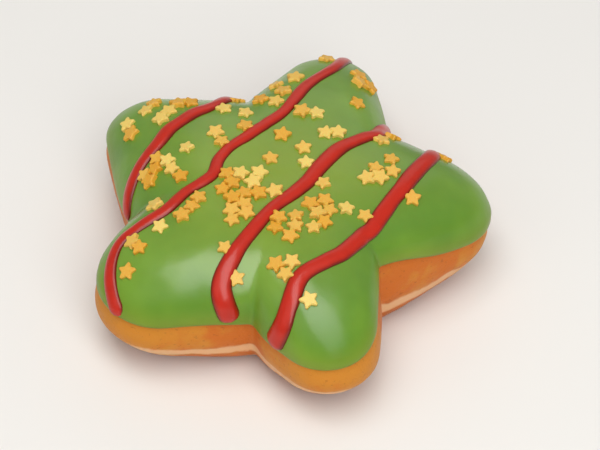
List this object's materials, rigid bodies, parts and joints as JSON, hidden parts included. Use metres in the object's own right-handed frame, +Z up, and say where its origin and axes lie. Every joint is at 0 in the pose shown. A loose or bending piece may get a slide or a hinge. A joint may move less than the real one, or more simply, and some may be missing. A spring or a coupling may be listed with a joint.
{
  "type": "star-shaped iced doughnut",
  "caption": "Puffy star-shaped fried doughnut with icing over the top, wavy drizzle stripes and small sugar stars.",
  "frame": {"origin": "middle of the base, on the surface that it rests on", "axes": "+Z up through the crown, +Y towards the longest lobe"},
  "size_m": [0.1034, 0.1078, 0.0376],
  "materials": {
    "dough": "matt fried crust, golden brown with a paler line round the middle",
    "icing": "set green sugar icing with a soft gloss",
    "drizzle": "piped red icing, glossy",
    "sugar_stars": "pressed sugar, golden yellow, matt"
  },
  "bodies": {
    "root": {"dough": "dough", "icing": "icing"}
  },
  "joints": []
}
